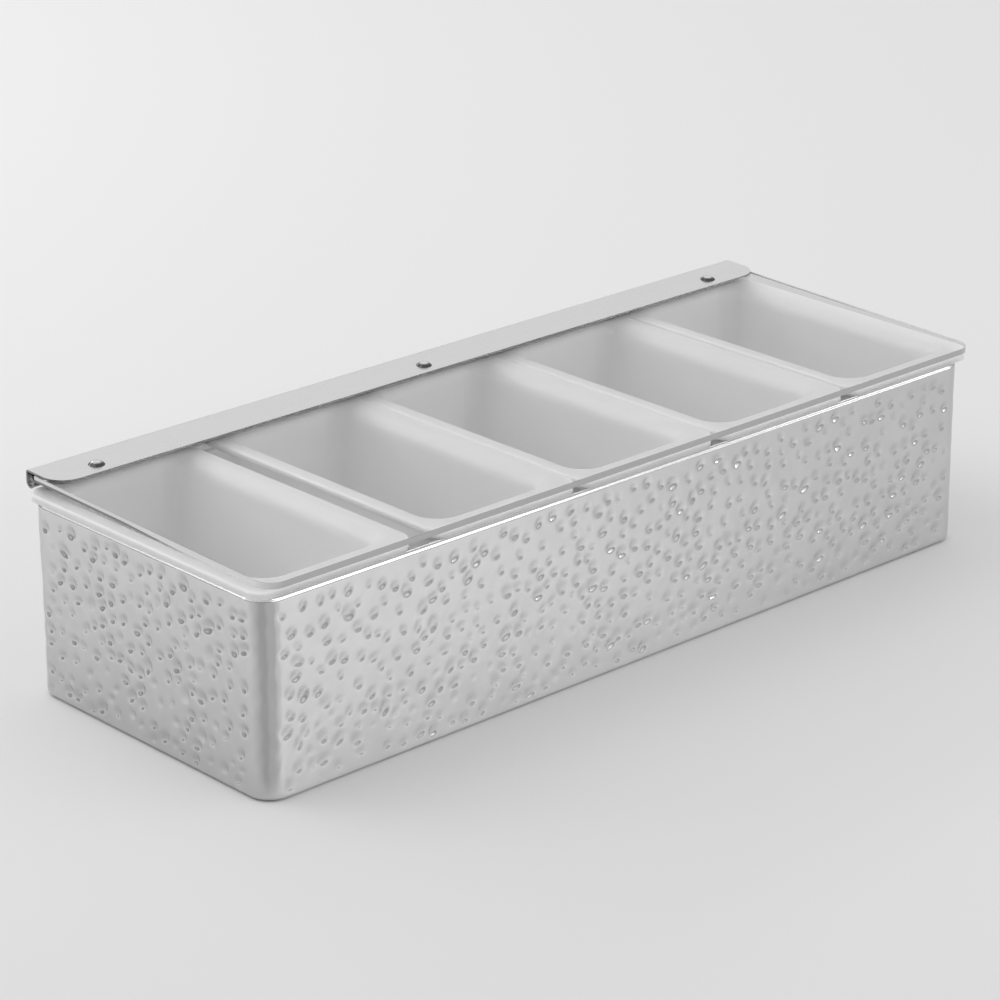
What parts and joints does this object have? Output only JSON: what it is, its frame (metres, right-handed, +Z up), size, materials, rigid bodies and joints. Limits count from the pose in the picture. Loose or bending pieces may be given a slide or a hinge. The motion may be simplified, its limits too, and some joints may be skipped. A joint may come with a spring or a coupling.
{
  "type": "condiment caddy",
  "caption": "Long sheet-steel condiment caddy with lift-out trays under one clear lid hinged along the back.",
  "frame": {"origin": "centre of the tub's footprint, on the surface it stands on", "axes": "+X along the tub to the right seen from the front, +Y to the back, where the hinge is, +Z up"},
  "size_m": [0.4659, 0.1753, 0.1093],
  "materials": {
    "tub_steel": "hammered stainless sheet",
    "spine_steel": "smooth satin stainless sheet",
    "hinge_steel": "satin",
    "rivet_steel": "polished",
    "tray_plastic": "white, slightly translucent",
    "lid_plastic": "clear, polished"
  },
  "bodies": {
    "housing": {"housing_tub": "tub_steel", "hinge_leaf": "hinge_steel", "leaf_rivets": "rivet_steel", "hinge_rod": "hinge_steel", "tray_1": "tray_plastic", "tray_2": "tray_plastic", "tray_3": "tray_plastic", "tray_4": "tray_plastic", "tray_5": "tray_plastic"},
    "lid": {"lid_sheet": "lid_plastic", "lid_spine": "spine_steel", "lid_rivets": "rivet_steel", "lid_washers": "hinge_steel"}
  },
  "joints": [
    {"name": "lid_hinge", "type": "hinge", "parent": "housing", "child": "lid", "pos_m": [0.006, 0.08725, 0.10206], "axis": [-1, 0, 0], "range_deg": [0, 154]}
  ]
}
